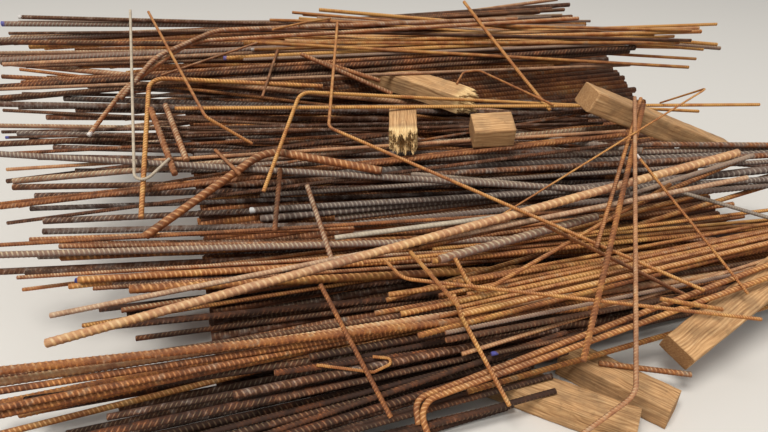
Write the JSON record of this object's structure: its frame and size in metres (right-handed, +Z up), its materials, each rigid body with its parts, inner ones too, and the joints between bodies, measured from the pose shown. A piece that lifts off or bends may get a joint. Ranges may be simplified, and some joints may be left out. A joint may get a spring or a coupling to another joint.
{
  "type": "rebar bundle",
  "caption": "Loose heap of rusty ribbed reinforcing bars, straight and bent, laid across each other over timber bearers.",
  "frame": {"origin": "middle of the heap's bounding box, on the ground", "axes": "+X along the bars, +Y from the low front edge up to the crest, +Z up"},
  "size_m": [3.5782, 2.575, 0.8035],
  "materials": {
    "rusted_bar": "rough brown and orange rust",
    "grey_bar": "dull grey mill scale with thin rust",
    "pale_bar": "light rust with pale dust",
    "hidden_steel": "dark rust",
    "timber": "rough sawn weathered softwood"
  },
  "bodies": {
    "root": {"bars_back_foot": "rusted_bar", "bars_back_slope": "rusted_bar", "bars_crest": "rusted_bar", "bars_crest_base": "rusted_bar", "bars_front_base": "grey_bar", "bars_left_fan": "rusted_bar", "bars_left_middle": "rusted_bar", "bars_low_left": "rusted_bar", "bars_middle_band": "grey_bar", "bars_right_fan_high": "rusted_bar", "bars_right_fan_low": "rusted_bar", "bars_single_long": "pale_bar", "bars_single_low": "grey_bar", "bars_single_top": "rusted_bar", "bars_single_upper": "rusted_bar", "bars_toe": "rusted_bar", "bars_top_right": "rusted_bar", "bars_upper_base": "grey_bar", "bars_upper_left": "rusted_bar", "bearer_block": "timber", "bearer_broken_end": "timber", "bearer_front_left": "timber", "bearer_front_right": "timber", "bearer_front_short": "timber", "bearer_upper_left": "timber", "bearer_upper_right": "timber", "bent_bar_curved_top": "rusted_bar", "bent_bar_inner_arc": "rusted_bar", "bent_bar_left_corner": "rusted_bar", "bent_bar_long_corner": "rusted_bar", "bent_bar_long_hook": "rusted_bar", "bent_bar_nested_inner": "rusted_bar", "bent_bar_nested_outer": "rusted_bar", "bent_bar_outer_arc": "rusted_bar", "bent_bar_right_hook": "pale_bar", "bent_bar_short_hook": "rusted_bar", "bent_bar_small_crook": "rusted_bar", "bent_bar_small_hook": "rusted_bar", "bent_bar_tall_corner": "rusted_bar", "bent_bar_thick_hook": "rusted_bar", "bent_bar_thin_hook": "rusted_bar", "bent_bar_thin_top": "rusted_bar", "bent_bar_thin_vee": "rusted_bar", "bent_bar_white_hook": "pale_bar", "hidden_core": "hidden_steel", "link_open": "rusted_bar"}
  },
  "joints": []
}
